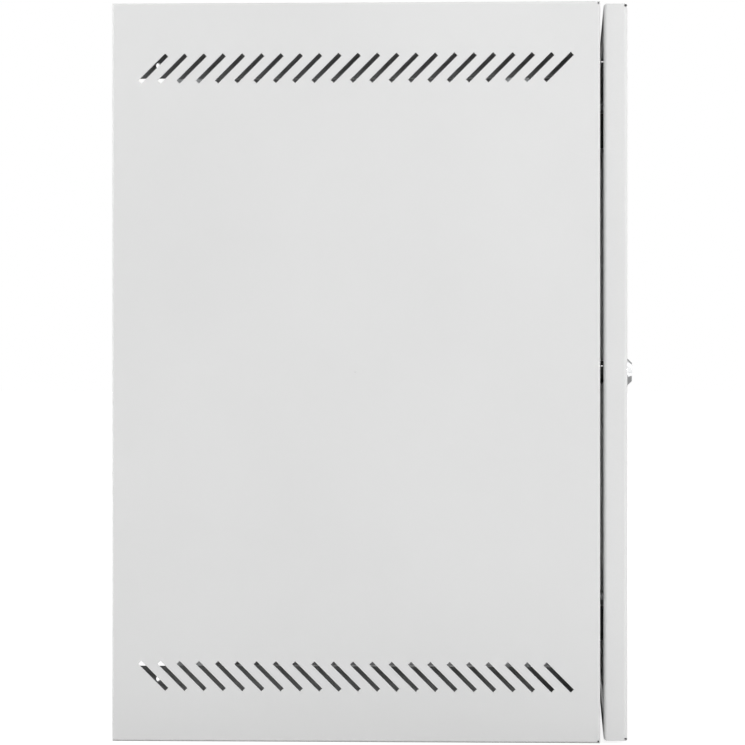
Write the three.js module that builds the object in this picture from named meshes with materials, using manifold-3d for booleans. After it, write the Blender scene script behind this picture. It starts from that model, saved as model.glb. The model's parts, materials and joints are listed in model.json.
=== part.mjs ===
// Wall-mounted 19-inch network cabinet, 12 rack units high: a folded and welded steel body with an open
// back, four rack rails that slide on depth beams, and a glazed door on concealed spring-pin hinges.
// Millimetres, +Z up, -Y is the front. The origin is the centre of the bounding box's underside.
import * as THREE from "three";
import { mergeVertices } from "three/addons/utils/BufferGeometryUtils.js";
import Module from "manifold-3d";

const wasm = await Module();
wasm.setup();

// ---------------------------------------------------------------- driving dimensions

const WIDTH = 600;
const HEIGHT = 635;
const BODY_DEPTH = 419.5;
const DOOR_GAP = 2.85;
const DOOR_DEPTH = 20.45;
const BEZEL_HEIGHT = 4.3; // how far the lock stands out of the door
const SHEET = 1.2;
const BEND = 1.8; // outside radius of the body's folds
const FLANGE = 22; // width of the body's inward flanges
const FIT = 0.1; // gap between pieces that are welded or screwed together
const CUT = 1; // how far a cutting solid runs past the face it opens

const TOTAL_DEPTH = BODY_DEPTH + DOOR_GAP + DOOR_DEPTH + BEZEL_HEIGHT;
const BACK = TOTAL_DEPTH / 2;
const FRONT = BACK - BODY_DEPTH; // the body's front plane
const MIDDLE = (BACK + FRONT) / 2;
const SIDE = WIDTH / 2;

// Slanted vents in the side panels
const VENT_COUNT = 22;
const VENT_PITCH = 16.6;
const VENT_LENGTH = 32.9;
const VENT_WIDTH = 3.8;
const VENT_INSET = 56.2; // from the top or bottom edge to the row's middle
const CENTRE_MARK_RADIUS = 0.6;
// Small holes drilled where three folds meet
const CORNER_RELIEF = { inset: 1.6, radius: 0.9, doorRadius: 1.15, depth: 5 };

// Rack rails and the beams that carry them
const UNIT = 44.45;
const UNITS = 12;
const UNIT_HOLES = [6.35, 22.225, 38.1]; // from the foot of each unit
const HOLE_SIDE = 9.5;
const HOLE_HALF_SPACING = 465.1 / 2;
const RAIL_INNER = 225; // half of the 450 mm opening
const RAIL_OUTER = 256;
const RAIL_DEPTH = 28;
const RAIL_SHEET = 1.5;
const RAIL_BEND = 2;
const RAIL_LENGTH = 582;
const RAIL_BOTTOM = (HEIGHT - RAIL_LENGTH) / 2;
const UNITS_BOTTOM = (HEIGHT - UNITS * UNIT) / 2;
const FRONT_RAIL_INSET = 60;
const REAR_RAIL_INSET = 49;

const BEAM_SHEET = 1.5;
const BEAM_WEB = RAIL_OUTER + 1;
const BEAM_FLANGE = 16;
const BEAM_LOW = 573.3; // the upper beam's lower edge; the lower beam mirrors it
const BEAM_HIGH = 611;
const BEAM_TAB_LOW = 588;
const BEAM_TAB_REACH = 296;
const BOLT_Z = 600.6;
const SLOT_HEIGHT = 6.2;
const FRONT_SLOT = [FRONT + 40, FRONT + 170];
const REAR_SLOT = [BACK - 163, BACK - 46];
const BEAM_END_HOLE = { y: BACK - 35.9, z: 584.7, radius: 2.5 };

// Wall brackets in the four rear corners
const WALL_BRACKET = { inner: 236, outer: 296, height: 60, inset: 4, sheet: 2 };
const KEYHOLE = { x: 256, low: -8, rise: 14, entry: 7, neck: 3.5 };

// Earth stud on the floor, with its nut
const EARTH_STUD = { x: -200, y: FRONT + 45, radius: 3, length: 22, padRadius: 6, padHeight: 1.5 };
const EARTH_NUT = { rise: 8, radius: 5.8, bore: 3.2, height: 5 };

// Roof and floor: vents over the fan places, and a cable opening with a sliding cover
const FAN_X = 120;
const FAN_Y = MIDDLE - 60;
const FAN_SLOTS = 9;
const FAN_SLOT = { length: 104, width: 4.5, pitch: 12 };
const FAN_HOLE = { half: 60, radius: 2.3 };
const CABLE_OPENING = { halfWidth: 150, y0: BACK - 94, y1: BACK - 34 };
const COVER = { halfWidth: 182, y0: BACK - 104, y1: BACK - 24, travel: 55 };
const COVER_GRIP = { half: 40, height: 8 };
const COVER_SCREW = { x: 167, y: BACK - 87, radius: 2, clearance: 0.3, headRadius: 6, headHeight: 7 };
const COVER_GAP = 0.2; // above and below the cover
const LAP_REACH = 20; // how far the roof and floor run under the side panels' flanges

// Door
const DOOR_HALF = SIDE - 1;
const DOOR_BOTTOM = 2;
const DOOR_TOP = HEIGHT - 2;
const DOOR_REAR = FRONT - DOOR_GAP;
const DOOR_FACE = DOOR_REAR - DOOR_DEPTH;
const DOOR_BEND = 3.1; // outside radius of the folds along its sides and round its rear
const DOOR_CORNER = 1.4; // outside radius of the folds along the face's top and bottom
const DOOR_SEAM = 1; // open corner seam above the right flange
const DOOR_RETURN = 20; // width of the flange round the door's rear
const WINDOW = { half: DOOR_HALF - 62, low: DOOR_BOTTOM + 56, high: DOOR_TOP - 56, radius: 6 };
const GLASS_LAP = 14;
const GLASS_THICKNESS = 4;
const GLASS_CORNER = 4;
const GASKET = { thickness: 1.4, lip: 1.2 };
const RETAINER = { width: 13, sheet: 1.5, leg: 8, overhang: 4, gap: 0.5 };

// Hinges, on the right. Offsets are from the hinge axis: out is +X, forward is -Y.
const HINGE_X = DOOR_HALF - 5;
const HINGE_Y = DOOR_REAR - 8.5;
const ARM_HEIGHT = 34.4;
const ARM_THICKNESS = 3;
const ARM_TOPS = { upper: 577, lower: 82.5 };
const KNUCKLE_RADIUS = 3.4;
const BORE_RADIUS = 2.2;
const PIN_RADIUS = 2;
const PIN_ENGAGEMENT = 9;
const EAR = 2;
const EAR_GAP = 0.4;
const COLLAR = { low: 5.2, high: 11.9, radius: 3.3, tab: 6 };
const GUIDE_LOW = 30; // the guide ear, above the arm's top
const LEVER_HEIGHT = 36;
const HINGE_SCREW = { radius: 1.7, hole: 1.9, headRadius: 3.6, headHeight: 1.5 };
const SPRING = { radius: 3, wire: 0.8, turns: 6, stepsPerTurn: 8 };

// Lock, on the left
const LOCK_X = -(DOOR_HALF - 34);
const LOCK_Z = HEIGHT / 2;
const BARREL_RADIUS = 9.75;
const BEZEL = { base: 11.6, top: 8, rim: 0.5 };
const PLUG_RADIUS = 6.5;
const PLUG_CLEARANCE = 0.25;
const BARREL_REAR = FRONT + SHEET + 0.6;
const PLUG = { recess: 0.4, tail: 0.3, drive: 3.5 };
const KEYWAY = { half: 0.9, halfHeight: 3.6, depth: 8, wardLow: 0.6, wardHigh: 1.5 };
const CAM_SCREW = { radius: 1.5, hole: 1.7, grip: 4, headRadius: 5, headHeight: 2.6 };
const CAM = { thickness: 2.5, reach: 29, width: 14, hub: 9 };
const NUT = { flats: 24, thickness: 5 };
const RECESS = { width: 1, depth: 1 }; // cross recess of the small screws
const RAIL_BOLT = { radius: 2.4, hole: 2.7, headRadius: 4.5, headHeight: 4, tail: 1 };
const SQUARE_NUT = { half: 5, thickness: 3 };
const SOCKET = { radius: 2.3, depth: 2.4 }; // hexagon socket of the rail bolts

const ROUND = 24; // segments of a round piece
const LOCK_ROUND = 40;

// ---------------------------------------------------------------- materials

const paint = new THREE.MeshStandardMaterial({ color: 0xd9dad8, roughness: 0.55, metalness: 0.1 });
const enamel = new THREE.MeshStandardMaterial({ color: 0x959699, roughness: 0.6, metalness: 0.1 });
const zinc = new THREE.MeshStandardMaterial({ color: 0xb4b8ba, roughness: 0.38, metalness: 0.9 });
const steel = new THREE.MeshStandardMaterial({ color: 0xc4c6c8, roughness: 0.28, metalness: 1 });
const chrome = new THREE.MeshStandardMaterial({ color: 0xdadde0, roughness: 0.12, metalness: 1 });
const blackMetal = new THREE.MeshStandardMaterial({ color: 0x101112, roughness: 0.5, metalness: 0.4 });
const rubber = new THREE.MeshStandardMaterial({ color: 0x151515, roughness: 0.8, metalness: 0 });
const brass = new THREE.MeshStandardMaterial({ color: 0xc9a24a, roughness: 0.3, metalness: 1 });
const smokedGlass = new THREE.MeshStandardMaterial({
  color: 0x3b4144,
  roughness: 0.05,
  metalness: 0,
  transparent: true,
  opacity: 0.45,
});

// ---------------------------------------------------------------- solids

function solidOf(geometry) {
  const bare = geometry.clone();
  bare.deleteAttribute("normal");
  bare.deleteAttribute("uv");
  const merged = mergeVertices(bare, 1e-4);
  return new wasm.Manifold(
    new wasm.Mesh({
      numProp: 3,
      vertProperties: new Float32Array(merged.attributes.position.array),
      triVerts: new Uint32Array(merged.index.array),
    }),
  );
}

function geometryOf(solid) {
  const mesh = solid.getMesh();
  const geometry = new THREE.BufferGeometry();
  geometry.setAttribute("position", new THREE.BufferAttribute(mesh.vertProperties, 3));
  geometry.setIndex(new THREE.BufferAttribute(mesh.triVerts, 1));
  const flat = geometry.toNonIndexed();
  flat.computeVertexNormals();
  return flat;
}

const unite = (solids) => solids.reduce((all, next) => all.add(next));
const subtract = (solid, cuts) => (cuts.length ? solid.subtract(unite(cuts)) : solid);

function box([x0, x1], [y0, y1], [z0, z1]) {
  const geometry = new THREE.BoxGeometry(x1 - x0, y1 - y0, z1 - z0);
  return solidOf(geometry.translate((x0 + x1) / 2, (y0 + y1) / 2, (z0 + z1) / 2));
}

// A shape's own two axes become the two across the given one: y and z for x, x and z for y, x and y for z.
function prism(shape, axis, from, to, segments = 4) {
  const geometry = new THREE.ExtrudeGeometry(shape, {
    depth: to - from,
    bevelEnabled: false,
    curveSegments: segments,
  });
  if (axis === "z") geometry.translate(0, 0, from);
  if (axis === "y") geometry.rotateX(Math.PI / 2).translate(0, to, 0);
  if (axis === "x") {
    const turn = new THREE.Matrix4().makeBasis(
      new THREE.Vector3(0, 1, 0),
      new THREE.Vector3(0, 0, 1),
      new THREE.Vector3(1, 0, 0),
    );
    geometry.applyMatrix4(turn).translate(from, 0, 0);
  }
  return solidOf(geometry);
}

// A cylinder or cone whose base centre is at a point and which runs along +X, +Y or +Z.
function rod(axis, [x, y, z], radius, length, segments = ROUND, endRadius = radius) {
  const geometry = new THREE.CylinderGeometry(endRadius, radius, length, segments);
  geometry.translate(0, length / 2, 0);
  if (axis === "x") geometry.rotateZ(-Math.PI / 2);
  if (axis === "z") geometry.rotateX(Math.PI / 2);
  return solidOf(geometry.translate(x, y, z));
}

// A rectangle whose corners, listed from the low-x low-y one anticlockwise, are rounded by these radii.
function roundedRectangle([x0, x1], [y0, y1], radii) {
  const [a, b, c, d] = radii;
  const shape = new THREE.Shape();
  shape.moveTo(x0 + a, y0);
  shape.lineTo(x1 - b, y0);
  if (b) shape.absarc(x1 - b, y0 + b, b, -Math.PI / 2, 0);
  shape.lineTo(x1, y1 - c);
  if (c) shape.absarc(x1 - c, y1 - c, c, 0, Math.PI / 2);
  shape.lineTo(x0 + d, y1);
  if (d) shape.absarc(x0 + d, y1 - d, d, Math.PI / 2, Math.PI);
  shape.lineTo(x0, y0 + a);
  if (a) shape.absarc(x0 + a, y0 + a, a, Math.PI, Math.PI * 1.5);
  return shape;
}

function polygon(points) {
  return new THREE.Shape(points.map(([x, y]) => new THREE.Vector2(x, y)));
}

const flipX = (solid) => solid.mirror([1, 0, 0]);
const flipZ = (solid) => solid.mirror([0, 0, 1]).translate([0, 0, HEIGHT]);

const cabinet = new THREE.Group();

function add(name, solid, material) {
  const mesh = new THREE.Mesh(geometryOf(solid), material);
  mesh.name = name;
  cabinet.add(mesh);
}

// ---------------------------------------------------------------- body

// The slanted vents lean towards the front at the top of the body and away from it at the foot.
function sideVents(x0, x1) {
  const cuts = [];
  for (const top of [true, false]) {
    const z = top ? HEIGHT - VENT_INSET : VENT_INSET;
    for (let i = 0; i < VENT_COUNT; i++) {
      const y = MIDDLE + (i - (VENT_COUNT - 1) / 2) * VENT_PITCH;
      const geometry = new THREE.BoxGeometry(x1 - x0, VENT_LENGTH, VENT_WIDTH);
      geometry.rotateX(((top ? -1 : 1) * Math.PI) / 4);
      cuts.push(solidOf(geometry.translate((x0 + x1) / 2, y, z)));
    }
  }
  return unite(cuts);
}

// Small holes at the top and bottom of a left edge whose front is at y.
function cornerReliefs(x, y, [bottom, top], radius) {
  const { inset, depth } = CORNER_RELIEF;
  return [bottom + inset, top - inset].map((z) => rod("x", [x - CUT, y + inset, z], radius, CUT + depth, 8));
}

// A tray folded from one sheet, with a flange on all four edges, shown for the left side.
function leftSidePanel() {
  const x = [-SIDE, -SIDE + FLANGE];
  const hollow = [-SIDE + SHEET, -SIDE + FLANGE + CUT];
  const inner = BEND - SHEET;
  const outside = prism(roundedRectangle(x, [FRONT, BACK], [BEND, 0, 0, BEND]), "z", 0, HEIGHT).intersect(
    prism(roundedRectangle(x, [0, HEIGHT], [BEND, 0, 0, BEND]), "y", FRONT, BACK),
  );
  const y = [FRONT + SHEET, BACK - SHEET];
  const z = [SHEET, HEIGHT - SHEET];
  const inside = prism(roundedRectangle(hollow, y, [inner, 0, 0, inner]), "z", ...z).intersect(
    prism(roundedRectangle(hollow, z, [inner, 0, 0, inner]), "y", ...y),
  );
  const mark = rod("x", [-SIDE - CUT, MIDDLE, HEIGHT / 2], CENTRE_MARK_RADIUS, SHEET + 2 * CUT, 8);
  const reliefs = cornerReliefs(-SIDE, FRONT, [0, HEIGHT], CORNER_RELIEF.radius);
  return subtract(outside, [inside, sideVents(-SIDE - CUT, -SIDE + SHEET + CUT), mark, ...reliefs]);
}

function fanCuts(z0, z1) {
  const cuts = [];
  for (const x of [-FAN_X, FAN_X]) {
    for (let i = 0; i < FAN_SLOTS; i++) {
      const y = FAN_Y + (i - (FAN_SLOTS - 1) / 2) * FAN_SLOT.pitch;
      const half = FAN_SLOT.length / 2;
      cuts.push(box([x - half, x + half], [y - FAN_SLOT.width / 2, y + FAN_SLOT.width / 2], [z0, z1]));
    }
    for (const dx of [-FAN_HOLE.half, FAN_HOLE.half])
      for (const dy of [-FAN_HOLE.half, FAN_HOLE.half])
        cuts.push(rod("z", [x + dx, FAN_Y + dy, z0], FAN_HOLE.radius, z1 - z0, 8));
  }
  return unite(cuts);
}

// The roof has a fold down at the front and the back, and laps under the side panels' top flanges.
function roof() {
  const half = SIDE - FLANGE - FIT;
  const low = HEIGHT - FLANGE;
  const inner = BEND - SHEET;
  const outside = prism(
    roundedRectangle([FRONT, BACK], [low, HEIGHT], [0, 0, BEND, BEND]), "x", -half, half,
  );
  const inside = prism(
    roundedRectangle([FRONT + SHEET, BACK - SHEET], [low - CUT, HEIGHT - SHEET], [0, 0, inner, inner]),
    "x", -half - CUT, half + CUT,
  );
  const lapTop = HEIGHT - SHEET - FIT;
  const lapY = [FRONT + BEND + SHEET, BACK - BEND - SHEET];
  const laps = [-1, 1].map((s) => {
    const ends = [s * (half - LAP_REACH / 2), s * (half + LAP_REACH)].sort((a, b) => a - b);
    return box(ends, lapY, [lapTop - SHEET, lapTop]);
  });
  const seams = [-1, 1].map((s) => {
    const ends = [s * (half - LAP_REACH / 2), s * (half - FIT)].sort((a, b) => a - b);
    return box(ends, lapY, [lapTop - SHEET, HEIGHT - SHEET / 2]);
  });
  const z = [HEIGHT - SHEET - CUT, HEIGHT + CUT];
  const opening = box(
    [-CABLE_OPENING.halfWidth, CABLE_OPENING.halfWidth], [CABLE_OPENING.y0, CABLE_OPENING.y1], z,
  );
  const holeRadius = COVER_SCREW.radius + COVER_SCREW.clearance;
  const screwHoles = [-1, 1].map((s) =>
    rod("z", [s * COVER_SCREW.x, COVER_SCREW.y, z[0]], holeRadius, z[1] - z[0], 12),
  );
  const plate = unite([outside.subtract(inside), ...laps, ...seams]);
  return subtract(plate, [fanCuts(...z), opening, ...screwHoles]);
}

function cableCover() {
  const z = [HEIGHT - COVER_GAP - 2 * SHEET, HEIGHT - COVER_GAP - SHEET];
  const plate = box([-COVER.halfWidth, COVER.halfWidth], [COVER.y0, COVER.y1], z);
  const slots = [-1, 1].map((s) => {
    const x = s * COVER_SCREW.x;
    const half = COVER_SCREW.radius + COVER_SCREW.clearance + COVER_GAP;
    const shape = roundedRectangle(
      [x - half, x + half],
      [COVER_SCREW.y - half, COVER_SCREW.y + COVER.travel + half],
      [half, half, half, half],
    );
    return prism(shape, "z", z[0] - CUT, z[1] + CUT);
  });
  const grip = box(
    [-COVER_GRIP.half, COVER_GRIP.half],
    [COVER.y0, COVER.y0 + SHEET],
    [z[0] - COVER_GRIP.height, z[0] + SHEET / 2],
  );
  return subtract(plate, slots).add(grip);
}

function coverScrew(side) {
  const top = HEIGHT - 2 * (SHEET + COVER_GAP);
  const at = (z) => [side * COVER_SCREW.x, COVER_SCREW.y, z];
  const { headRadius, headHeight } = COVER_SCREW;
  const head = rod("z", at(top - headHeight), headRadius, headHeight, 16);
  return head.add(rod("z", at(top - 1), COVER_SCREW.radius, HEIGHT - top + 1, 16));
}

// Upper left: an angle whose top leg points outwards, with tabs bent out to the body's two flanges.
function depthBeam() {
  const front = FRONT + SHEET + FIT;
  const back = BACK - SHEET - 2 * FIT - WALL_BRACKET.sheet;
  const web = [-BEAM_WEB - BEAM_SHEET, -BEAM_WEB];
  const across = [-BEAM_WEB - BEAM_FLANGE, -BEAM_WEB];
  const tab = [-BEAM_TAB_REACH, -BEAM_WEB];
  const slotX = [web[0] - CUT, web[1] + CUT];
  const slotZ = [BOLT_Z - SLOT_HEIGHT / 2, BOLT_Z + SLOT_HEIGHT / 2];
  const angle = unite([
    box(web, [front, back], [BEAM_LOW, BEAM_HIGH]),
    box(across, [front, back], [BEAM_HIGH - BEAM_SHEET, BEAM_HIGH]),
    box(tab, [front, front + BEAM_SHEET], [BEAM_TAB_LOW, BEAM_HIGH]),
    box(tab, [back - BEAM_SHEET, back], [BEAM_TAB_LOW, BEAM_HIGH]),
  ]);
  return subtract(angle, [
    box(slotX, FRONT_SLOT, slotZ),
    box(slotX, REAR_SLOT, slotZ),
    rod("x", [slotX[0], BEAM_END_HOLE.y, BEAM_END_HOLE.z], BEAM_END_HOLE.radius, slotX[1] - slotX[0], 16),
  ]);
}

// An angle with square holes in its face; the face looks forward and the leg runs back along the beam.
function frontLeftRail() {
  const face = FRONT + FRONT_RAIL_INSET;
  const x = [-RAIL_OUTER, -RAIL_INNER];
  const z = [RAIL_BOTTOM, RAIL_BOTTOM + RAIL_LENGTH];
  const outside = prism(roundedRectangle(x, [face, face + RAIL_DEPTH], [RAIL_BEND, 0, 0, 0]), "z", ...z);
  const inside = prism(
    roundedRectangle(
      [x[0] + RAIL_SHEET, x[1] + CUT],
      [face + RAIL_SHEET, face + RAIL_DEPTH + CUT],
      [RAIL_BEND - RAIL_SHEET, 0, 0, 0],
    ),
    "z", z[0] - CUT, z[1] + CUT,
  );
  const cuts = [inside];
  for (let unit = 0; unit < UNITS; unit++) {
    for (const offset of UNIT_HOLES) {
      const centre = UNITS_BOTTOM + unit * UNIT + offset;
      cuts.push(
        box(
          [-HOLE_HALF_SPACING - HOLE_SIDE / 2, -HOLE_HALF_SPACING + HOLE_SIDE / 2],
          [face - CUT, face + RAIL_SHEET + CUT],
          [centre - HOLE_SIDE / 2, centre + HOLE_SIDE / 2],
        ),
      );
    }
  }
  for (const hole of [BOLT_Z, HEIGHT - BOLT_Z])
    cuts.push(rod("x", [x[0] - CUT, face + RAIL_DEPTH / 2, hole], RAIL_BOLT.hole, RAIL_SHEET + 2 * CUT, 8));
  return subtract(outside, cuts);
}

// A cap screw from inside the rail, through the beam's slot, into a square nut: left side, upper beam.
function railBolt(y) {
  const inner = -RAIL_OUTER + RAIL_SHEET + FIT;
  const nut = -BEAM_WEB - BEAM_SHEET - FIT;
  const end = nut - SQUARE_NUT.thickness - RAIL_BOLT.tail;
  const { half } = SQUARE_NUT;
  const bolt = unite([
    rod("x", [inner, y, BOLT_Z], RAIL_BOLT.headRadius, RAIL_BOLT.headHeight, 12),
    rod("x", [end, y, BOLT_Z], RAIL_BOLT.radius, inner - end + CUT, 8),
    box([nut - SQUARE_NUT.thickness, nut], [y - half, y + half], [BOLT_Z - half, BOLT_Z + half]),
  ]);
  const mouth = inner + RAIL_BOLT.headHeight - SOCKET.depth;
  return bolt.subtract(rod("x", [mouth, y, BOLT_Z], SOCKET.radius, SOCKET.depth + CUT, 6));
}

// A plate with a keyhole, welded inside the rear flanges: upper left.
function wallBracket() {
  const y1 = BACK - SHEET - FIT;
  const y0 = y1 - WALL_BRACKET.sheet;
  const top = HEIGHT - WALL_BRACKET.inset;
  return box([-WALL_BRACKET.outer, -WALL_BRACKET.inner], [y0, y1], [top - WALL_BRACKET.height, top]);
}

function keyhole(middle) {
  const y = BACK - SHEET - FIT - WALL_BRACKET.sheet - CUT;
  const length = WALL_BRACKET.sheet + 2 * CUT;
  const low = middle + KEYHOLE.low;
  const high = low + KEYHOLE.rise;
  return unite([
    rod("y", [-KEYHOLE.x, y, low], KEYHOLE.entry, length, 20),
    rod("y", [-KEYHOLE.x, y, high], KEYHOLE.neck, length, 20),
    box([-KEYHOLE.x - KEYHOLE.neck, -KEYHOLE.x + KEYHOLE.neck], [y, y + length], [low, high]),
  ]);
}

function buildBody() {
  const side = leftSidePanel();
  add("left_side_panel", side, paint);
  add("right_side_panel", subtract(flipX(side), hingeScrewHoles()), paint);
  const top = roof();
  add("roof_panel", top, paint);
  add("floor_panel", flipZ(top), paint);

  const cover = cableCover();
  add("roof_cable_cover", cover, paint);
  add("floor_cable_cover", flipZ(cover), paint);
  for (const [side, sign] of [["left", -1], ["right", 1]]) {
    add(`roof_cover_screw_${side}`, coverScrew(sign), zinc);
    add(`floor_cover_screw_${side}`, flipZ(coverScrew(sign)), zinc);
  }

  const beam = depthBeam();
  add("left_upper_depth_beam", beam, enamel);
  add("left_lower_depth_beam", flipZ(beam), enamel);
  add("right_upper_depth_beam", flipX(beam), enamel);
  add("right_lower_depth_beam", flipX(flipZ(beam)), enamel);

  // The rear rails are the front ones turned to face the back.
  const frontRail = frontLeftRail();
  const rearFace = BACK - REAR_RAIL_INSET;
  const rearRail = frontRail.mirror([0, 1, 0]).translate([0, rearFace + FRONT + FRONT_RAIL_INSET, 0]);
  add("front_left_rail", frontRail, zinc);
  add("front_right_rail", flipX(frontRail), zinc);
  add("rear_left_rail", rearRail, zinc);
  add("rear_right_rail", flipX(rearRail), zinc);
  const frontBolt = railBolt(FRONT + FRONT_RAIL_INSET + RAIL_DEPTH / 2);
  const rearBolt = railBolt(rearFace - RAIL_DEPTH / 2);
  for (const [end, bolt] of [["front", frontBolt], ["rear", rearBolt]]) {
    add(`${end}_left_rail_bolt_upper`, bolt, steel);
    add(`${end}_left_rail_bolt_lower`, flipZ(bolt), steel);
    add(`${end}_right_rail_bolt_upper`, flipX(bolt), steel);
    add(`${end}_right_rail_bolt_lower`, flipX(flipZ(bolt)), steel);
  }

  const half = WALL_BRACKET.height / 2;
  const upperMiddle = HEIGHT - WALL_BRACKET.inset - half;
  const upper = wallBracket().subtract(keyhole(upperMiddle));
  const lower = flipZ(wallBracket()).subtract(keyhole(HEIGHT - upperMiddle));
  add("wall_bracket_upper_left", upper, paint);
  add("wall_bracket_upper_right", flipX(upper), paint);
  add("wall_bracket_lower_left", lower, paint);
  add("wall_bracket_lower_right", flipX(lower), paint);

  const foot = [EARTH_STUD.x, EARTH_STUD.y, SHEET + FIT];
  const shank = rod("z", foot, EARTH_STUD.radius, EARTH_STUD.length, 16);
  add("earth_stud", shank.add(rod("z", foot, EARTH_STUD.padRadius, EARTH_STUD.padHeight, 16)), brass);
  const nutFoot = [EARTH_STUD.x, EARTH_STUD.y, SHEET + EARTH_NUT.rise];
  const hexagon = rod("z", nutFoot, EARTH_NUT.radius, EARTH_NUT.height, 6);
  const nutBore = rod("z", foot, EARTH_NUT.bore, EARTH_STUD.length, 16);
  add("earth_nut", hexagon.subtract(nutBore), brass);
}

// ---------------------------------------------------------------- door

function doorFrame() {
  const x = [-DOOR_HALF, DOOR_HALF];
  const y = [DOOR_FACE, DOOR_REAR];
  const z = [DOOR_BOTTOM, DOOR_TOP];
  const shrink = ([low, high]) => [low + SHEET, high - SHEET];
  const plan = [DOOR_BEND, DOOR_BEND, DOOR_BEND, DOOR_BEND];
  const profile = [DOOR_CORNER, DOOR_BEND, DOOR_BEND, DOOR_CORNER];
  const inner = (radii) => radii.map((r) => r - SHEET);
  const outside = prism(roundedRectangle(x, y, plan), "z", ...z).intersect(
    prism(roundedRectangle(y, z, profile), "x", ...x),
  );
  const inside = prism(roundedRectangle(shrink(x), shrink(y), inner(plan)), "z", ...shrink(z)).intersect(
    prism(roundedRectangle(shrink(y), shrink(z), inner(profile)), "x", ...shrink(x)),
  );
  const seam = box(
    [x[1] - SHEET - CUT, x[1] + CUT],
    [y[0] + DOOR_BEND, y[1] - DOOR_BEND],
    [z[1] - SHEET - DOOR_SEAM, z[1] - SHEET],
  );
  const rearOpening = box(
    [x[0] + DOOR_RETURN, x[1] - DOOR_RETURN],
    [DOOR_REAR - SHEET - CUT, DOOR_REAR + CUT],
    [z[0] + DOOR_RETURN, z[1] - DOOR_RETURN],
  );
  const r = WINDOW.radius;
  const window = prism(
    roundedRectangle([-WINDOW.half, WINDOW.half], [WINDOW.low, WINDOW.high], [r, r, r, r]),
    "y", DOOR_FACE - CUT, DOOR_FACE + SHEET + CUT,
  );
  const lockHole = rod("y", [LOCK_X, DOOR_FACE - CUT, LOCK_Z], BARREL_RADIUS + 0.2, SHEET + 2 * CUT);
  // The rear flange is notched so that the hinge arms can swing through it.
  const notches = Object.values(ARM_TOPS).map((top) =>
    box(
      [DOOR_HALF - DOOR_RETURN - CUT, DOOR_HALF - SHEET],
      [DOOR_REAR - DOOR_BEND, DOOR_REAR + CUT],
      [top - ARM_HEIGHT - 4, top + 4],
    ),
  );
  const reliefs = cornerReliefs(x[0], y[0], z, CORNER_RELIEF.doorRadius);
  return subtract(outside, [
    inside, rearOpening, window, lockHole, seam, ...notches, ...reliefs, ...reliefs.map(flipX),
  ]);
}

const GASKET_FRONT = DOOR_FACE + SHEET + FIT;
const GLASS_FRONT = GASKET_FRONT + GASKET.thickness + FIT;
const GLASS_REAR = GLASS_FRONT + GLASS_THICKNESS;
const GLASS_HALF = WINDOW.half + GLASS_LAP;
const GLASS_LOW = WINDOW.low - GLASS_LAP;
const GLASS_HIGH = WINDOW.high + GLASS_LAP;

function ring(outerHalf, outerZ, innerHalf, innerZ, radius, y0, y1) {
  const r = [radius, radius, radius, radius];
  return prism(roundedRectangle([-outerHalf, outerHalf], outerZ, r), "y", y0, y1).subtract(
    prism(roundedRectangle([-innerHalf, innerHalf], innerZ, r), "y", y0 - CUT, y1 + CUT),
  );
}

// A strip that presses the glass against the gasket, with a leg that stiffens it.
function sideRetainer() {
  const x = [GLASS_HALF + RETAINER.overhang - RETAINER.width, GLASS_HALF + RETAINER.overhang];
  const y = GLASS_REAR + FIT;
  const z = [GLASS_LOW, GLASS_HIGH];
  return unite([
    box(x, [y, y + RETAINER.sheet], z),
    box([x[1] - RETAINER.sheet, x[1]], [y, y + RETAINER.leg], z),
  ]);
}

function endRetainer() {
  const x = GLASS_HALF + RETAINER.overhang - RETAINER.width - RETAINER.gap;
  const y = GLASS_REAR + FIT;
  const z = [GLASS_HIGH + RETAINER.overhang - RETAINER.width, GLASS_HIGH + RETAINER.overhang];
  return unite([
    box([-x, x], [y, y + RETAINER.sheet], z),
    box([-x, x], [y, y + RETAINER.leg], [z[1] - RETAINER.sheet, z[1]]),
  ]);
}

function buildDoor() {
  add("door_frame", doorFrame(), paint);
  const lip = GASKET.lip;
  add("glass_gasket", ring(
    GLASS_HALF, [GLASS_LOW, GLASS_HIGH],
    WINDOW.half - lip, [WINDOW.low + lip, WINDOW.high - lip],
    WINDOW.radius - lip, GASKET_FRONT, GASKET_FRONT + GASKET.thickness,
  ), rubber);
  const corner = [GLASS_CORNER, GLASS_CORNER, GLASS_CORNER, GLASS_CORNER];
  add("door_glass", prism(
    roundedRectangle([-GLASS_HALF, GLASS_HALF], [GLASS_LOW, GLASS_HIGH], corner),
    "y", GLASS_FRONT, GLASS_REAR,
  ), smokedGlass);
  const side = sideRetainer();
  add("glass_retainer_right", side, zinc);
  add("glass_retainer_left", flipX(side), zinc);
  const end = endRetainer();
  add("glass_retainer_top", end, zinc);
  add("glass_retainer_bottom", flipZ(end), zinc);
}

// ---------------------------------------------------------------- hinges

// The cross-shaped cut in a screw head whose face is at y; towards is the way into the head, 1 or -1.
function crossRecess(x, y, z, span, towards) {
  const depth = [y - towards * CUT, y + towards * RECESS.depth].sort((a, b) => a - b);
  const half = RECESS.width / 2;
  return box([x - span, x + span], depth, [z - half, z + half]).add(
    box([x - half, x + half], depth, [z - span, z + span]),
  );
}

// A point given by its offsets from the hinge axis, outwards and forwards, as x and y.
const fromAxis = (out, forward) => [HINGE_X + out, HINGE_Y - forward];
const REACH = 18; // the arm's leg passes this far inside the axis, beyond the body's front flange
const RISE = 5.2; // and rises this far in front of it before it bends back
const FLANGE_BACK = -(FRONT + SHEET - HINGE_Y) - FIT;
const SCREW_OUT = -8;

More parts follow.
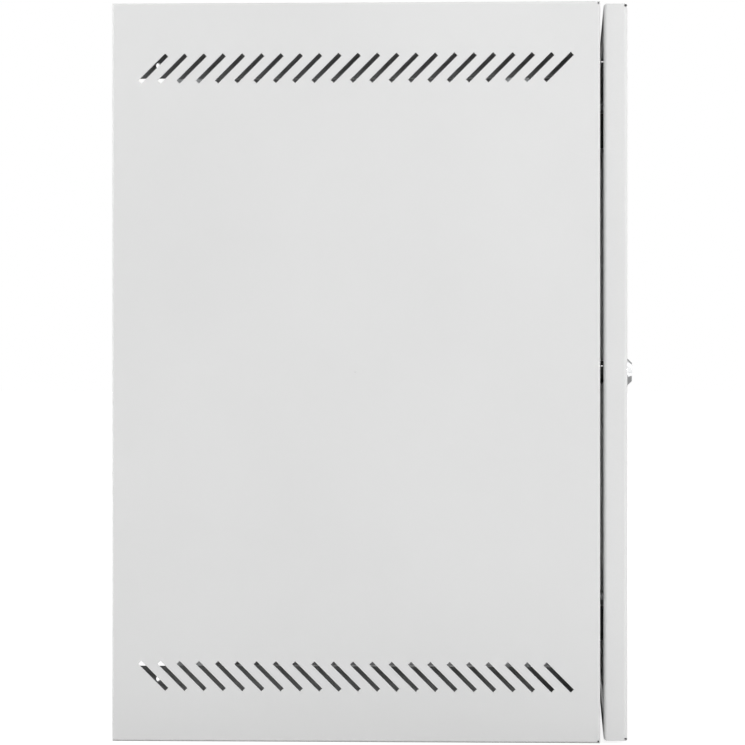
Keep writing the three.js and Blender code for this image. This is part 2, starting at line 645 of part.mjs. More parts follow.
function hingeArm(top) {
  const z = [top - ARM_HEIGHT, top];
  const h = ARM_THICKNESS / 2;
  const neck = prism(
    polygon(
      [
        [1, -1.8], [-1.8, 1], [-5.6, RISE + h], [-REACH - h, RISE + h],
        [-REACH - h, FLANGE_BACK - ARM_THICKNESS], [0, FLANGE_BACK - ARM_THICKNESS], [0, FLANGE_BACK],
        [-REACH + h, FLANGE_BACK], [-REACH + h, RISE - h], [-4.6, RISE - h],
      ].map(([out, forward]) => fromAxis(out, forward)),
    ),
    "z", ...z,
  );
  const knuckle = rod("z", [...fromAxis(0, 0), z[0]], KNUCKLE_RADIUS, ARM_HEIGHT);
  const bore = rod("z", [...fromAxis(0, 0), z[0] - CUT], BORE_RADIUS, ARM_HEIGHT + 2 * CUT);
  const holes = screwHeights(top).map((height) =>
    rod("y", [HINGE_X + SCREW_OUT, FRONT + SHEET, height], HINGE_SCREW.hole, ARM_THICKNESS + CUT, 12),
  );
  return subtract(neck.add(knuckle), [bore, ...holes]);
}

// The arm's two screws stand a quarter and three quarters of the way down it.
const screwHeights = (top) => [0.25, 0.75].map((share) => top - share * ARM_HEIGHT);

function hingeScrewHoles() {
  return Object.values(ARM_TOPS).flatMap(screwHeights).map((z) =>
    rod("y", [HINGE_X + SCREW_OUT, FRONT - CUT, z], HINGE_SCREW.hole, SHEET + 2 * CUT, 12),
  );
}

// A flat-headed screw that holds the arm's foot behind the body's front flange.
function hingeScrew(z) {
  const x = HINGE_X + SCREW_OUT;
  const { headRadius, headHeight, radius } = HINGE_SCREW;
  const head = rod("y", [x, FRONT - FIT - headHeight, z], headRadius, headHeight, 12);
  const shank = rod("y", [x, FRONT - FIT - headHeight / 2, z], radius, SHEET + ARM_THICKNESS + 3, 12);
  return head.add(shank).subtract(crossRecess(x, FRONT - FIT - headHeight, z, 2, 1));
}

// A channel behind the door's face: its lower ear carries a fixed stub, its upper two guide the pin.
function doorHingeBracket(top) {
  const web = DOOR_REAR - DOOR_DEPTH + SHEET + FIT; // its face against the door
  const y = [web + 1, HINGE_Y + 3.2]; // the ears join the web just clear of the door's inner bend
  const x = [HINGE_X - 5, HINGE_X + 3.4];
  const bottom = top - ARM_HEIGHT;
  const lowerEar = [bottom - EAR_GAP - EAR, bottom - EAR_GAP];
  const upperEar = [top + EAR_GAP, top + EAR_GAP + EAR];
  const guideEar = [top + GUIDE_LOW, top + GUIDE_LOW + EAR];
  const bore = rod("z", [HINGE_X, HINGE_Y, top - CUT], BORE_RADIUS, GUIDE_LOW + EAR + 2 * CUT);
  const plates = unite([
    box([HINGE_X - 14, HINGE_X + 2], [web, web + 1.3], [lowerEar[0], guideEar[1]]),
    box(x, y, lowerEar),
    box(x, y, upperEar),
    box(x, y, guideEar),
  ]);
  const stub = rod("z", [HINGE_X, HINGE_Y, lowerEar[0]], PIN_RADIUS, EAR + EAR_GAP + PIN_ENGAGEMENT);
  return plates.subtract(bore).add(stub);
}

// The sprung pin: its tip is in the arm's knuckle, its collar takes the spring and has a tab to lift it by,
// and its top is bent over.
function hingePin(top) {
  const axis = (z) => [HINGE_X, HINGE_Y, top + z];
  const shank = rod("z", axis(-PIN_ENGAGEMENT), PIN_RADIUS, PIN_ENGAGEMENT + LEVER_HEIGHT + PIN_RADIUS);
  const collar = rod("z", axis(COLLAR.low), COLLAR.radius, COLLAR.high - COLLAR.low);
  const lever = rod("x", [HINGE_X - 20, HINGE_Y, top + LEVER_HEIGHT], PIN_RADIUS - 0.1, 20, 16);
  const tab = box(
    [HINGE_X - COLLAR.radius, HINGE_X + COLLAR.radius],
    [HINGE_Y, HINGE_Y + COLLAR.tab],
    [top + COLLAR.low, top + COLLAR.high],
  );
  return unite([shank, collar, tab, lever]);
}

// A helix swept by a small diamond. It stands between the pin's collar and the guide ear.
function hingeSpring(top) {
  const low = COLLAR.high + SPRING.wire / 2 + FIT;
  const high = GUIDE_LOW - SPRING.wire / 2 - FIT;
  class Helix extends THREE.Curve {
    getPoint(t, target = new THREE.Vector3()) {
      const angle = t * SPRING.turns * 2 * Math.PI;
      return target.set(
        HINGE_X + SPRING.radius * Math.cos(angle),
        HINGE_Y + SPRING.radius * Math.sin(angle),
        top + low + t * (high - low),
      );
    }
  }
  const r = SPRING.wire / 2;
  const section = polygon([[r, 0], [0, r], [-r, 0], [0, -r]]);
  const steps = SPRING.turns * SPRING.stepsPerTurn;
  return solidOf(new THREE.ExtrudeGeometry(section, { steps, extrudePath: new Helix() }));
}

function buildHinges() {
  for (const [place, top] of Object.entries(ARM_TOPS)) {
    add(`${place}_hinge_arm`, hingeArm(top), blackMetal);
    const [high, low] = screwHeights(top);
    add(`${place}_hinge_screw_high`, hingeScrew(high), zinc);
    add(`${place}_hinge_screw_low`, hingeScrew(low), zinc);
    add(`${place}_hinge_bracket`, doorHingeBracket(top), zinc);
    add(`${place}_hinge_pin`, hingePin(top), steel);
    add(`${place}_hinge_spring`, hingeSpring(top), steel);
  }
}

// ---------------------------------------------------------------- lock

function buildLock() {
  const at = (y) => [LOCK_X, y, LOCK_Z];
  const bezelBack = DOOR_FACE - FIT;
  const bezelFront = DOOR_FACE - BEZEL_HEIGHT;
  const coneStart = bezelBack - BEZEL.rim;

  // The cone narrows towards the front, so it is built from its small end backwards.
  const bezel = rod("y", at(coneStart), BEZEL.base, BEZEL.rim, LOCK_ROUND).add(
    rod("y", at(bezelFront), BEZEL.top, coneStart - bezelFront, LOCK_ROUND, BEZEL.base),
  );
  const barrel = rod("y", at(bezelBack - FIT), BARREL_RADIUS, BARREL_REAR - bezelBack + FIT, LOCK_ROUND);
  const bore = rod("y", at(bezelFront - CUT), PLUG_RADIUS + PLUG_CLEARANCE, TOTAL_DEPTH, LOCK_ROUND);
  add("lock_housing", bezel.add(barrel).subtract(bore), chrome);

  const nutFront = DOOR_FACE + SHEET + FIT;
  const nut = rod("y", at(nutFront), NUT.flats / Math.sqrt(3), NUT.thickness, 6);
  const thread = rod("y", at(nutFront - CUT), BARREL_RADIUS + 0.15, NUT.thickness + 2 * CUT, LOCK_ROUND);
  add("lock_nut", nut.subtract(thread), zinc);

  const plugFront = bezelFront + PLUG.recess;
  const plugRear = BARREL_REAR + PLUG.tail;
  const plug = rod("y", at(plugFront), PLUG_RADIUS, plugRear - plugFront, LOCK_ROUND);
  const around = (middle, half) => [middle - half, middle + half];
  const drive = box(
    around(LOCK_X, PLUG.drive),
    [plugRear - CUT, plugRear + CAM.thickness],
    around(LOCK_Z, PLUG.drive),
  );
  const keyDepth = [plugFront - CUT, plugFront + KEYWAY.depth];
  const keyway = box(around(LOCK_X, KEYWAY.half), keyDepth, around(LOCK_Z, KEYWAY.halfHeight));
  const warding = box(
    [LOCK_X - KEYWAY.half, LOCK_X + 2 * KEYWAY.half],
    keyDepth,
    [LOCK_Z + KEYWAY.wardLow, LOCK_Z + KEYWAY.wardHigh],
  );
  const screwHole = rod("y", at(plugRear - CAM_SCREW.grip - CUT), CAM_SCREW.hole, 12, 12);
  add("lock_plug", subtract(plug.add(drive), [keyway, warding, screwHole]), chrome);

  const camFront = plugRear + FIT;
  const camRear = camFront + CAM.thickness;
  const finger = box(
    [LOCK_X - CAM.width / 2, LOCK_X + CAM.width / 2], [camFront, camRear], [LOCK_Z - CAM.reach, LOCK_Z],
  );
  const socketHalf = PLUG.drive + FIT;
  const socket = box(around(LOCK_X, socketHalf), [camFront - CUT, camRear + CUT], around(LOCK_Z, socketHalf));
  add("lock_cam", rod("y", at(camFront), CAM.hub, CAM.thickness).add(finger).subtract(socket), zinc);

  const headBase = camRear + FIT;
  const tip = plugRear - CAM_SCREW.grip;
  const screw = rod("y", at(headBase), CAM_SCREW.headRadius, CAM_SCREW.headHeight, 16).add(
    rod("y", at(tip), CAM_SCREW.radius, headBase + CUT - tip, 12),
  );
  const recess = crossRecess(LOCK_X, headBase + CAM_SCREW.headHeight, LOCK_Z, CAM_SCREW.headRadius / 2, -1);
  add("lock_cam_screw", screw.subtract(recess), zinc);
}

buildBody();
buildDoor();
buildHinges();
buildLock();

export default cabinet;
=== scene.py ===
"""Looks for the wall-mounted 19-inch network cabinet: finishes, edges, coil springs, studio and camera."""

import json
import math

import bmesh
import bpy
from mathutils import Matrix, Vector

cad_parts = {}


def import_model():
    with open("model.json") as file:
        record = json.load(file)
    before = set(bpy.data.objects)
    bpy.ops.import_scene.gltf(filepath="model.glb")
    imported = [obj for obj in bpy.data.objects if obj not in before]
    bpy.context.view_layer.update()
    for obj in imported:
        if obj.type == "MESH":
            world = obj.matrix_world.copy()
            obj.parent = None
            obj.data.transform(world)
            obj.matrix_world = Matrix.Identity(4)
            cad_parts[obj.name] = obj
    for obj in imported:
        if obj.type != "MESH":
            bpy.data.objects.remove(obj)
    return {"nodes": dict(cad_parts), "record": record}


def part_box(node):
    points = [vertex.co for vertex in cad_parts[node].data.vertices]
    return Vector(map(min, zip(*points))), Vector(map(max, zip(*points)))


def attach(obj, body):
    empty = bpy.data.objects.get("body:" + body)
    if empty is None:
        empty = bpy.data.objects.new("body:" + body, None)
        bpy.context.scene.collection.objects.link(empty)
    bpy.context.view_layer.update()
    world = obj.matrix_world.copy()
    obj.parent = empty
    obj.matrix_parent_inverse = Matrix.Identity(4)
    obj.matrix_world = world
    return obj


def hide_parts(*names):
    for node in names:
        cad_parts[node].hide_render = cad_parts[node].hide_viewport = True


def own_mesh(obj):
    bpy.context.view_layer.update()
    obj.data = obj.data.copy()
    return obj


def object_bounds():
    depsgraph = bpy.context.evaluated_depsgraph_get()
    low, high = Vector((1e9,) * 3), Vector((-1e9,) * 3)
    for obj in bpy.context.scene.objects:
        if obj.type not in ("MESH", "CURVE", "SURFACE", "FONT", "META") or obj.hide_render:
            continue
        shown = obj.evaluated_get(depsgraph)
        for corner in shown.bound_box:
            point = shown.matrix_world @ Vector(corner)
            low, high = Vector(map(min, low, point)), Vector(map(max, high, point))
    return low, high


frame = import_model()
nodes = frame["nodes"]
cad_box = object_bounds()

# ---------------------------------------------------------------- sizes

MM = 0.001
WELD = 0.001 * MM
FLAT_ANGLE = math.radians(1)
SHARP_ANGLE = math.radians(35)
FINE_EDGE = 0.22 * MM
SMALL_EDGE = 0.3 * MM
EDGE_WEAR = 0.5 * MM

SPRING_WIRE = 0.4 * MM
SPRING_COIL = 2.85 * MM
SPRING_TURNS = 7
SPRING_STEPS = 28
SPRING_SIDES = 10
CLOSED_COIL_RISE = 0.05  # the share of the spring's height that each closed end coil takes

CAMERA_DISTANCE = 3.3
CAMERA_YAW = math.radians(2.92)
CAMERA_AIM = (-14.7 * MM, -0.24 * MM)  # along Y from the side panel's middle, along Z from the cabinet's
VIEW_WIDTH = 0.6393  # what the picture's width spans on the near side panel
SENSOR = 36

SKY = 0.6
BEHIND = 0.12  # light from behind the cabinet, as a share of the light from its front
CEILING = 0.35  # light from straight above, as a share of the light from the sides
FLOOR_GLOW = 0.9  # keeps the floor near white to the camera
PAINTED_REFLECTION_GLOW = 0.5  # and, as a painted reflection seen only in the chrome, glows to keep its far part white there
FLOOR_HALF = 60
FLOOR_DROP = 0.5 * MM  # the floor lies this far under the cabinet
# Distances from the middle over which the floor turns paler
SHADE = (0.36, 0.46)  # as a source of bounced light; there the floor is painted darker near the cabinet, a painted shade
CHROME_EDGE = (1.08, 1.12)  # in the chrome, where near the cabinet it is painted darker, a painted shade, and farther out white, a painted reflection
HORIZON = (1, 3)  # to the camera

# Each light's name, place, target, diameter and power: metres and watts
LIGHTS = [
    ("key_light", (-7.6, -4.0, 3.0), (0, 0, 0.35), 3.0, 420),
    ("top_light", (-1.6, -0.2, 3.6), (-0.3, -0.2, 0.3), 0.15, 20),
    ("front_light", (2.5, -5.5, 2.4), (0, 0, 0.3), 2.5, 80),
    ("rear_light", (-0.8, 5.5, 1.6), (-0.3, 0.2, 0.3), 1.2, 190),
]

# ---------------------------------------------------------------- node helpers


class Tree:
    """Builds a material's nodes. Every texture uses the object's own coordinates, in metres."""

    def __init__(self, name):
        self.material = bpy.data.materials.new(name)
        self.material.use_nodes = True
        self.tree = self.material.node_tree
        self.surface = self.tree.nodes["Principled BSDF"]
        self.where = self.add("ShaderNodeTexCoord").outputs["Object"]

    def add(self, kind, **values):
        node = self.tree.nodes.new(kind)
        for key, value in values.items():
            setattr(node, key, value)
        return node

    def link(self, output, target):
        self.tree.links.new(output, target)

    def feed(self, target, value):
        if isinstance(value, bpy.types.NodeSocket):
            self.link(value, target)
        else:
            target.default_value = value

    def stretched(self, scale):
        mapping = self.add("ShaderNodeMapping")
        mapping.inputs["Scale"].default_value = scale
        self.link(self.where, mapping.inputs["Vector"])
        return mapping.outputs["Vector"]

    def noise(self, scale, detail=2.0, where=None):
        node = self.add("ShaderNodeTexNoise")
        node.inputs["Scale"].default_value = scale
        node.inputs["Detail"].default_value = detail
        self.link(where or self.where, node.inputs["Vector"])
        return node.outputs["Fac"]

    def cells(self, scale):
        node = self.add("ShaderNodeTexVoronoi")
        node.inputs["Scale"].default_value = scale
        self.link(self.where, node.inputs["Vector"])
        return node.outputs["Color"]

    def spread(self, value, low, high, start=0.3, end=0.7):
        """Maps start..end of a value to low..high, and clamps it."""
        node = self.add("ShaderNodeMapRange")
        self.link(value, node.inputs["Value"])
        node.inputs["From Min"].default_value = start
        node.inputs["From Max"].default_value = end
        node.inputs["To Min"].default_value = low
        node.inputs["To Max"].default_value = high
        return node.outputs["Result"]

    def multiply(self, a, b):
        node = self.add("ShaderNodeMath", operation="MULTIPLY")
        self.feed(node.inputs[0], a)
        self.feed(node.inputs[1], b)
        return node.outputs["Value"]

    def mix(self, share, a, b):
        node = self.add("ShaderNodeMix", data_type="RGBA")
        self.feed(node.inputs["Factor"], share)
        self.feed(node.inputs[6], a)
        self.feed(node.inputs[7], b)
        return node.outputs[2]

    def worn_edges(self, reach=EDGE_WEAR):
        """1 within a short reach of an edge, broken up by a noise, and 0 elsewhere."""
        rounded = self.add("ShaderNodeBevel", samples=4)
        rounded.inputs["Radius"].default_value = reach
        turned = self.add("ShaderNodeVectorMath", operation="DOT_PRODUCT")
        self.link(rounded.outputs["Normal"], turned.inputs[0])
        self.link(self.add("ShaderNodeNewGeometry").outputs["Normal"], turned.inputs[1])
        near = self.spread(turned.outputs["Value"], 1, 0, 0.8, 0.98)
        return self.multiply(near, self.spread(self.noise(160, 4), 0.2, 1))

    def bump(self, height, depth, strength=1.0, under=None):
        node = self.add("ShaderNodeBump")
        node.inputs["Distance"].default_value = depth
        node.inputs["Strength"].default_value = strength
        self.link(height, node.inputs["Height"])
        if under:
            self.link(under, node.inputs["Normal"])
        return node.outputs["Normal"]

    def finish(self, colour, roughness, normal=None, **values):
        self.feed(self.surface.inputs["Base Color"], colour)
        self.feed(self.surface.inputs["Roughness"], roughness)
        if normal:
            self.link(normal, self.surface.inputs["Normal"])
        for name, value in values.items():
            self.feed(self.surface.inputs[name.replace("_", " ")], value)
        return self.material


def rgb(red, green, blue):
    return (red, green, blue, 1.0)


# ---------------------------------------------------------------- materials


def powder_coat():
    """Light grey paint: a fine orange-peel grain, a slow drift in shade, and slightly paler edges."""
    t = Tree("light_grey_powder_coat")
    drift = t.spread(t.noise(5, 3), 0, 1)
    speckle = t.spread(t.noise(1500, 2), 0, 1)
    base = t.mix(drift, rgb(0.735, 0.737, 0.735), rgb(0.765, 0.767, 0.765))
    base = t.mix(t.multiply(speckle, 0.35), base, rgb(0.69, 0.692, 0.69))
    base = t.mix(t.multiply(t.worn_edges(), 0.5), base, rgb(0.82, 0.82, 0.815))
    peel = t.bump(t.noise(900, 3), 0.03 * MM, 0.7)
    grain = t.bump(t.noise(2600, 2), 0.012 * MM, 0.6, peel)
    roughness = t.spread(t.noise(260, 3), 0.42, 0.56)
    return t.finish(base, roughness, grain)


def grey_enamel():
    """Thin mid-grey dip paint on the depth beams: faint runs, a fine grain and edges rubbed paler. The mid
    grey, darker than the body, is painted shade for the dim inside seen through the vents.
    """
    t = Tree("mid_grey_enamel_painted_shade")
    runs = t.noise(30, 3, t.stretched((1, 1, 0.3)))
    # Painted shade: the beams' grey is darker than the body's for the dim inside behind the vents
    base = t.mix(t.spread(runs, 0, 1), rgb(0.285, 0.287, 0.29), rgb(0.32, 0.322, 0.325))
    base = t.mix(t.multiply(t.worn_edges(), 0.5), base, rgb(0.4, 0.402, 0.405))
    return t.finish(base, t.spread(t.noise(500, 3), 0.5, 0.66), t.bump(t.noise(1400, 2), 0.02 * MM, 0.6))


def zinc_plate():
    """Satin zinc plating: faint crystal patches, fine rolling lines and brighter edges."""
    t = Tree("satin_zinc_plate")
    patches = t.add("ShaderNodeSeparateColor")
    t.link(t.cells(260), patches.inputs["Color"])
    base = t.mix(patches.outputs["Red"], rgb(0.50, 0.525, 0.55), rgb(0.63, 0.65, 0.665))
    base = t.mix(t.spread(t.noise(24, 4), 0, 0.35), base, rgb(0.58, 0.58, 0.56))
    base = t.mix(t.worn_edges(), base, rgb(0.78, 0.79, 0.8))
    lines = t.noise(90, 3, t.stretched((40, 40, 1)))
    roughness = t.spread(t.noise(70, 4), 0.3, 0.46)
    return t.finish(base, roughness, t.bump(lines, 0.01 * MM, 0.5), Metallic=1.0)


def bright_steel():
    """Bright plated steel with turned rings too fine to see and small handling marks."""
    t = Tree("bright_plated_steel")
    base = t.mix(t.spread(t.noise(90, 4), 0, 1), rgb(0.66, 0.67, 0.68), rgb(0.76, 0.765, 0.77))
    base = t.mix(t.worn_edges(), base, rgb(0.88, 0.88, 0.88))
    marks = t.noise(700, 4, t.stretched((1, 1, 6)))
    return t.finish(base, t.spread(t.noise(300, 4), 0.18, 0.34), t.bump(marks, 0.008 * MM, 0.6), Metallic=1.0)


def chrome_plate():
    """Chrome over a zinc casting: nearly a mirror, with faint waviness and hair marks."""
    t = Tree("chrome_plate")
    base = t.mix(t.spread(t.noise(120, 3), 0, 1), rgb(0.80, 0.81, 0.82), rgb(0.86, 0.865, 0.87))
    hair = t.noise(500, 3, t.stretched((1, 1, 8)))
    wave = t.bump(t.noise(90, 1), 0.01 * MM, 0.4)
    roughness = t.spread(hair, 0.06, 0.15)
    return t.finish(base, roughness, t.bump(hair, 0.003 * MM, 0.4, wave), Metallic=1.0)


def lock_housing_finish():
    """A chrome bezel in front of the door, and a glossy black barrel behind its face; the barrel's black is
    painted shade for the dark door gap it sits in.
    """
    t = Tree("chrome_bezel_painted_shade_barrel")
    place = t.add("ShaderNodeSeparateXYZ")
    t.link(t.where, place.inputs["Vector"])
    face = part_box("door_frame")[0].y
    behind = t.spread(place.outputs["Y"], 0, 1, face + 0.5 * MM, face + 0.7 * MM)
    chrome = t.mix(t.spread(t.noise(120, 3), 0, 1), rgb(0.80, 0.81, 0.82), rgb(0.86, 0.865, 0.87))
    # Painted shade: behind the face the barrel is coloured near black for the dark of the door gap
    black = t.mix(t.spread(t.noise(300, 3), 0, 1), rgb(0.004, 0.004, 0.004), rgb(0.009, 0.009, 0.009))
    hair = t.noise(500, 3, t.stretched((1, 1, 8)))
    roughness = t.spread(hair, 0.07, 0.16)
    metallic = t.spread(behind, 1, 0, 0, 1)
    shine = t.spread(behind, 0.5, 0.15, 0, 1)
    surface = t.mix(behind, chrome, black)
    bump = t.bump(hair, 0.003 * MM, 0.4)
    return t.finish(surface, roughness, bump, Metallic=metallic, Specular_IOR_Level=shine)


def black_casting():
    """Black stoved paint on a die casting: fine pimples and rubbed grey edges."""
    t = Tree("black_die_casting")
    base = t.mix(t.spread(t.noise(140, 3), 0, 1), rgb(0.008, 0.008, 0.009), rgb(0.016, 0.016, 0.017))
    base = t.mix(t.multiply(t.worn_edges(), 0.5), base, rgb(0.09, 0.09, 0.095))
    return t.finish(base, t.spread(t.noise(600, 3), 0.4, 0.62), t.bump(t.noise(1800, 2), 0.03 * MM, 0.6))


def black_rubber():
    """Matt sealing strip with a dusty bloom."""
    t = Tree("black_sealing_rubber")
    base = t.mix(t.spread(t.noise(60, 5), 0, 1), rgb(0.014, 0.014, 0.014), rgb(0.032, 0.031, 0.03))
    return t.finish(base, t.spread(t.noise(400, 3), 0.68, 0.88), t.bump(t.noise(1600, 2), 0.04 * MM, 0.7))


def smoked_glass():
    """Tinted pane. Its see-through share and gloss vary a little where it has been wiped."""
    t = Tree("smoked_glass")
    wiped = t.noise(9, 5, t.stretched((1, 1, 0.35)))
    base = t.mix(t.spread(wiped, 0, 1), rgb(0.014, 0.016, 0.017), rgb(0.02, 0.022, 0.023))
    roughness = t.spread(wiped, 0.015, 0.06)
    waves = t.bump(t.noise(14, 1), 0.02 * MM, 0.3)
    material = t.finish(base, roughness, waves, Alpha=t.spread(wiped, 0.5, 0.54), Coat_Weight=0.5)
    material.surface_render_method = "BLENDED"
    return material


def brass_plate():
    """Brass-plated stud, dulled in patches."""
    t = Tree("brass_plate")
    base = t.mix(t.spread(t.noise(200, 4), 0, 1), rgb(0.62, 0.44, 0.17), rgb(0.78, 0.6, 0.28))
    base = t.mix(t.worn_edges(), base, rgb(0.88, 0.74, 0.42))
    roughness = t.spread(t.noise(500, 3), 0.22, 0.42)
    return t.finish(base, roughness, t.bump(t.noise(900, 2), 0.01 * MM), Metallic=1.0)


FINISHES = {
    "powder_coat": powder_coat(),
    "grey_enamel": grey_enamel(),
    "zinc_plate": zinc_plate(),
    "bright_steel": bright_steel(),
    "chrome_plate": chrome_plate(),
    "black_die_cast": black_casting(),
    "black_rubber": black_rubber(),
    "smoked_glass": smoked_glass(),
    "brass_plate": brass_plate(),
}


def paint_nodes():
    """Gives each CAD node the finish of its own material slot."""
    for entry in frame["record"]["subparts"]:
        node = nodes[entry["node"]]
        for slot in node.material_slots:
            slot.material = FINISHES[entry["material_slot"]]
    nodes["lock_housing"].material_slots[0].material = lock_housing_finish()


# ---------------------------------------------------------------- fine edges


def smooth_by_angle():
    """A modifier's node group that drops the faceted normals and shades every soft edge smooth."""
    group = bpy.data.node_groups.new("smooth_by_angle", "GeometryNodeTree")
    group.interface.new_socket("Geometry", in_out="INPUT", socket_type="NodeSocketGeometry")
    group.interface.new_socket("Geometry", in_out="OUTPUT", socket_type="NodeSocketGeometry")
    start = group.nodes.new("NodeGroupInput")
    end = group.nodes.new("NodeGroupOutput")
    bare = group.nodes.new("GeometryNodeRemoveAttribute")
    bare.inputs["Name"].default_value = "custom_normal"
    faces = group.nodes.new("GeometryNodeSetShadeSmooth")
    faces.domain = "FACE"
    faces.inputs["Shade Smooth"].default_value = True
    edges = group.nodes.new("GeometryNodeSetShadeSmooth")
    edges.domain = "EDGE"
    angle = group.nodes.new("GeometryNodeInputMeshEdgeAngle")
    soft = group.nodes.new("FunctionNodeCompare")
    soft.data_type = "FLOAT"
    soft.operation = "LESS_THAN"
    soft.inputs["B"].default_value = SHARP_ANGLE
    links = group.links
    links.new(start.outputs["Geometry"], bare.inputs["Geometry"])
    links.new(bare.outputs["Geometry"], faces.inputs["Geometry"])
    links.new(faces.outputs["Geometry"], edges.inputs["Geometry"])
    links.new(angle.outputs["Unsigned Angle"], soft.inputs["A"])
    links.new(soft.outputs["Result"], edges.inputs["Shade Smooth"])
    links.new(edges.outputs["Geometry"], end.inputs["Geometry"])
    return group


def soften(piece, width, group):
    """Joins the triangles into flat faces, breaks the sharp edges by a width, and shades the rest smooth."""
    weld = piece.modifiers.new("weld", "WELD")
    weld.merge_threshold = WELD
    flat = piece.modifiers.new("flat_faces", "DECIMATE")
    flat.decimate_type = "DISSOLVE"
    flat.angle_limit = FLAT_ANGLE
    bevel = piece.modifiers.new("broken_edges", "BEVEL")
    bevel.width = width
    bevel.segments = 2
    bevel.limit_method = "ANGLE"
    bevel.angle_limit = SHARP_ANGLE
    smooth = piece.modifiers.new("smooth", "NODES")
    smooth.node_group = group
    weighted = piece.modifiers.new("flat_faces_stay_flat", "WEIGHTED_NORMAL")
    weighted.keep_sharp = True


def soften_nodes():
    group = smooth_by_angle()
    for name, node in nodes.items():
        if name.endswith("_spring"):
            continue
        small = "screw" in name or "lock" in name or "hinge" in name
        soften(node, SMALL_EDGE if small else FINE_EDGE, group)


# ---------------------------------------------------------------- coil springs


def coil_rise(share):
    """How high the wire is at a share of its length, 0 to 1. The first and last turns lie almost flat."""
    closed = 1 / SPRING_TURNS
    open_coils = min(max((share - closed) / (1 - 2 * closed), 0), 1)
    first = min(share / closed, 1)
    last = max((share - 1) / closed + 1, 0)
    return open_coils * (1 - 2 * CLOSED_COIL_RISE) + CLOSED_COIL_RISE * first + CLOSED_COIL_RISE * last


def coil_spring(name, node):
    """A round wire wound on the hinge pin, with its end coils closed up."""
    low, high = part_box(node)
    centre = (low + high) / 2
    length = high.z - low.z - 2 * SPRING_WIRE
    steps = SPRING_TURNS * SPRING_STEPS
    mesh = bmesh.new()
    rings = []
    for i in range(steps + 1):
        share = i / steps
        turn = 2 * math.pi * SPRING_TURNS * share
        out = Vector((math.cos(turn), math.sin(turn), 0))
        height = low.z + SPRING_WIRE + coil_rise(share) * length
        middle = Vector((centre.x, centre.y, height)) + out * SPRING_COIL
        ring = []
        for k in range(SPRING_SIDES):
            angle = 2 * math.pi * k / SPRING_SIDES
            offset = out * math.cos(angle) + Vector((0, 0, math.sin(angle)))
            ring.append(mesh.verts.new(middle + offset * SPRING_WIRE))
        rings.append(ring)
    for a, b in zip(rings, rings[1:]):
        for k in range(SPRING_SIDES):
            n = (k + 1) % SPRING_SIDES
            mesh.faces.new((a[k], a[n], b[n], b[k]))
    mesh.faces.new(rings[0])
    mesh.faces.new(reversed(rings[-1]))
    bmesh.ops.recalc_face_normals(mesh, faces=mesh.faces)
    data = bpy.data.meshes.new(name)
    mesh.to_mesh(data)
    mesh.free()
    for face in data.polygons:
        face.use_smooth = len(face.vertices) == 4
    data.materials.append(FINISHES["bright_steel"])
    spring = bpy.data.objects.new(name, data)
    bpy.context.scene.collection.objects.link(spring)
    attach(spring, "door")
    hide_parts(node)
    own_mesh(spring)


# ---------------------------------------------------------------- studio


def world():
    """White to the camera. Mirrored, white in front and dark far behind. As light, brightest in front."""
    sky = bpy.data.worlds.new("studio")
    bpy.context.scene.world = sky
    sky.use_nodes = True
    tree = sky.node_tree
    tree.nodes.clear()
    new, link = tree.nodes.new, tree.links.new

    def ramp(value, start, end, low, high):
        node = new("ShaderNodeMapRange")
        link(value, node.inputs["Value"])
        node.inputs["From Min"].default_value = start
        node.inputs["From Max"].default_value = end
        node.inputs["To Min"].default_value = low
        node.inputs["To Max"].default_value = high
        return node.outputs["Result"]

    def backdrop(strength):
        node = new("ShaderNodeBackground")
        if isinstance(strength, bpy.types.NodeSocket):
            link(strength, node.inputs["Strength"])
        else:
            node.inputs["Strength"].default_value = strength
        node.inputs["Color"].default_value = rgb(1, 1, 1)
        return node.outputs["Background"]

    def choose(share, off, on):
        node = new("ShaderNodeMixShader")
        link(share, node.inputs["Fac"])
        link(off, node.inputs[1])
        link(on, node.inputs[2])
        return node.outputs["Shader"]

    direction = new("ShaderNodeTexCoord")
    parts = new("ShaderNodeSeparateXYZ")
    link(direction.outputs["Generated"], parts.inputs["Vector"])
    ray = new("ShaderNodeLightPath")
    overhead = new("ShaderNodeMath")
    overhead.operation = "MULTIPLY"
    link(ramp(parts.outputs["Y"], -0.4, 0.3, SKY, SKY * BEHIND), overhead.inputs[0])
    link(ramp(parts.outputs["Z"], 0.3, 1, 1, CEILING), overhead.inputs[1])
    light = backdrop(overhead.outputs["Value"])
    mirrored = backdrop(ramp(parts.outputs["X"], 0.5, 0.95, 1.1, 0.1))
    lit = choose(ray.outputs["Is Glossy Ray"], light, mirrored)
    output = new("ShaderNodeOutputWorld")
    link(choose(ray.outputs["Is Camera Ray"], lit, backdrop(1)), output.inputs["Surface"])


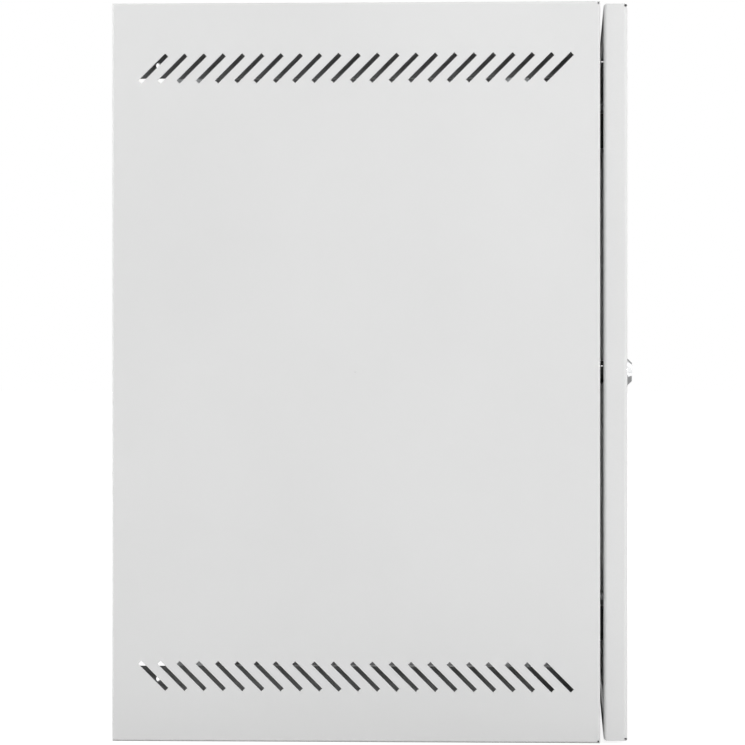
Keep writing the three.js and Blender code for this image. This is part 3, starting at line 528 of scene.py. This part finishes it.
def floor():
    """A plain pale floor, slightly uneven. The camera, the chrome and bounced light see different shades: as
    bounced light and in the chrome it is painted darker near the cabinet, a painted shade, and in the chrome
    its far part glows white, a painted reflection.
    """
    half = FLOOR_HALF
    mesh = bpy.data.meshes.new("studio_floor")
    corners = [(-half, -half, 0), (half, -half, 0), (half, half, 0), (-half, half, 0)]
    mesh.from_pydata(corners, [], [(0, 1, 2, 3)])
    plane = bpy.data.objects.new("studio_floor", mesh)
    plane.location.z = -FLOOR_DROP
    bpy.context.scene.collection.objects.link(plane)
    t = Tree("pale_floor")
    away = t.add("ShaderNodeVectorMath", operation="LENGTH")
    t.link(t.where, away.inputs["Vector"])
    distance = away.outputs["Value"]
    ray = t.add("ShaderNodeLightPath")
    grain = t.spread(t.noise(3, 2), 0, 1)
    seen = t.mix(grain, rgb(0.24, 0.24, 0.24), rgb(0.26, 0.26, 0.26))
    # Painted shade for bounced light: the floor is darker near the cabinet, so less light bounces onto the
    # cabinet's lower part
    bounce_painted_shade = t.mix(t.spread(distance, 0, 1, *SHADE), rgb(0.32, 0.32, 0.32), rgb(0.62, 0.62, 0.62))
    # In the chrome only: painted shade, a darker grey near the cabinet, and farther out a painted reflection,
    # white and glowing
    far = t.spread(distance, 0, 1, *CHROME_EDGE)
    mirrored = t.mix(far, rgb(0.48, 0.48, 0.48), rgb(1, 1, 1))
    direct = t.mix(ray.outputs["Is Camera Ray"], bounce_painted_shade, seen)
    colour = t.mix(ray.outputs["Is Glossy Ray"], direct, mirrored)
    seen_glow = t.multiply(t.spread(distance, FLOOR_GLOW, 1, *HORIZON), ray.outputs["Is Camera Ray"])
    painted_reflection_glow = t.multiply(t.multiply(far, PAINTED_REFLECTION_GLOW), ray.outputs["Is Glossy Ray"])
    glow = t.add("ShaderNodeMath", operation="ADD")
    t.link(seen_glow, glow.inputs[0])
    t.link(painted_reflection_glow, glow.inputs[1])
    strength = glow.outputs["Value"]
    mesh.materials.append(t.finish(colour, 0.9, Emission_Color=rgb(1, 1, 1), Emission_Strength=strength))


def area_light(name, place, target, size, power):
    data = bpy.data.lights.new(name, "AREA")
    data.shape = "DISK"
    data.size = size
    data.energy = power
    lamp = bpy.data.objects.new(name, data)
    lamp.location = place
    lamp.rotation_euler = (Vector(target) - Vector(place)).to_track_quat("-Z", "Y").to_euler()
    bpy.context.scene.collection.objects.link(lamp)


def camera(low, high):
    """Square to the left side, turned a little so that the door is slightly the nearer."""
    body_low, body_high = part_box("left_side_panel")
    middle = Vector((low.x, (body_low.y + body_high.y) / 2, (low.z + high.z) / 2))
    target = middle + Vector((0, *CAMERA_AIM))
    look = Vector((math.cos(CAMERA_YAW), math.sin(CAMERA_YAW), 0))
    data = bpy.data.cameras.new("camera")
    data.sensor_width = SENSOR
    data.lens = SENSOR * CAMERA_DISTANCE / VIEW_WIDTH
    eye = bpy.data.objects.new("camera", data)
    eye.location = target - look * CAMERA_DISTANCE
    eye.rotation_euler = look.to_track_quat("-Z", "Y").to_euler()
    bpy.context.scene.collection.objects.link(eye)
    bpy.context.scene.camera = eye


# ---------------------------------------------------------------- build

paint_nodes()
soften_nodes()
coil_spring("upper_hinge_coil", "upper_hinge_spring")
coil_spring("lower_hinge_coil", "lower_hinge_spring")

world()
floor()
for light in LIGHTS:
    area_light(*light)
camera(*cad_box)
bpy.context.scene.view_settings.view_transform = "Standard"
